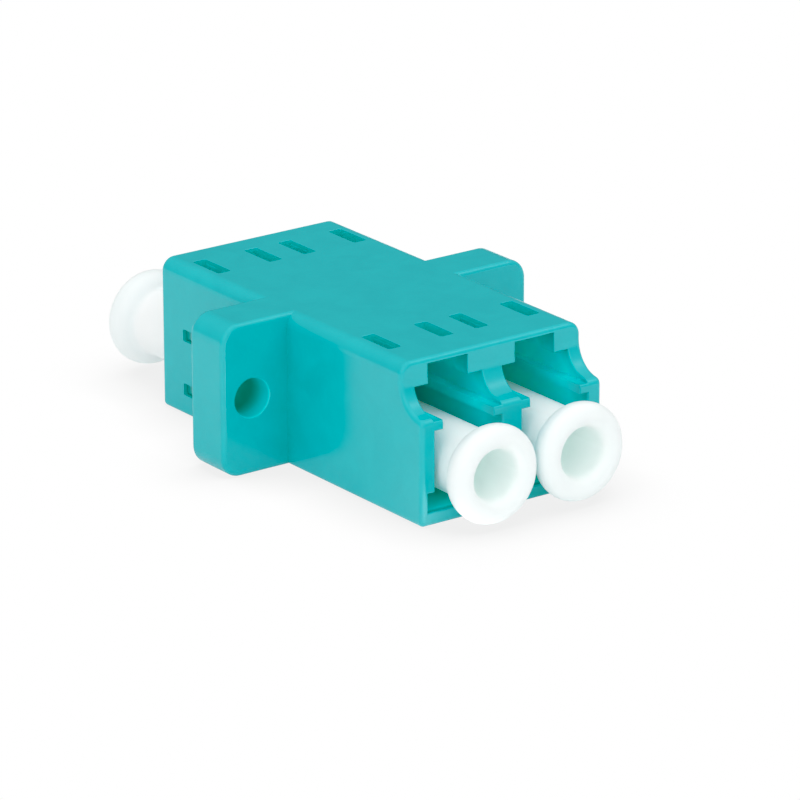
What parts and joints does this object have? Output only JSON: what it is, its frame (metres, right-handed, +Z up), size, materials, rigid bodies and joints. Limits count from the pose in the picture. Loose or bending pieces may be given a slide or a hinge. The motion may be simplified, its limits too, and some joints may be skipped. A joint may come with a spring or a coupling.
{
  "type": "fibre optic adapter",
  "caption": "Flanged duplex fibre adapter: a one-piece moulded housing with latching plug ports at both ends, alignment sleeves inside, and pull-off dust caps.",
  "frame": {"origin": "middle of the two flange holes, on the flange's rear face, which seats on the panel", "axes": "+Y along the fibres towards the rear, +X across the flange, +Z up towards the latch windows"},
  "size_m": [0.0222, 0.0363, 0.0094],
  "materials": {
    "housing": "aqua thermoplastic, glossy as moulded",
    "holder": "aqua thermoplastic, glossy as moulded",
    "sleeve": "fine-ground white zirconia",
    "cap": "white polyethylene, slightly translucent"
  },
  "bodies": {
    "adapter": {"housing": "housing", "sleeve_holder_left": "holder", "sleeve_holder_right": "holder", "split_sleeve_left": "sleeve", "split_sleeve_right": "sleeve"},
    "front_left_cap": {"dust_cap_front_left": "cap"},
    "front_right_cap": {"dust_cap_front_right": "cap"},
    "rear_left_cap": {"dust_cap_rear_left": "cap"},
    "rear_right_cap": {"dust_cap_rear_right": "cap"}
  },
  "joints": [
    {"name": "front_left_cap_pull", "type": "slide", "parent": "adapter", "child": "front_left_cap", "axis": [0, -1, 0], "range_m": [0, 0.0135]},
    {"name": "front_right_cap_pull", "type": "slide", "parent": "adapter", "child": "front_right_cap", "axis": [0, -1, 0], "range_m": [0, 0.0135]},
    {"name": "rear_left_cap_pull", "type": "slide", "parent": "adapter", "child": "rear_left_cap", "axis": [0, 1, 0], "range_m": [-0.0013, 0.01]},
    {"name": "rear_right_cap_pull", "type": "slide", "parent": "adapter", "child": "rear_right_cap", "axis": [0, 1, 0], "range_m": [-0.0013, 0.01]}
  ]
}
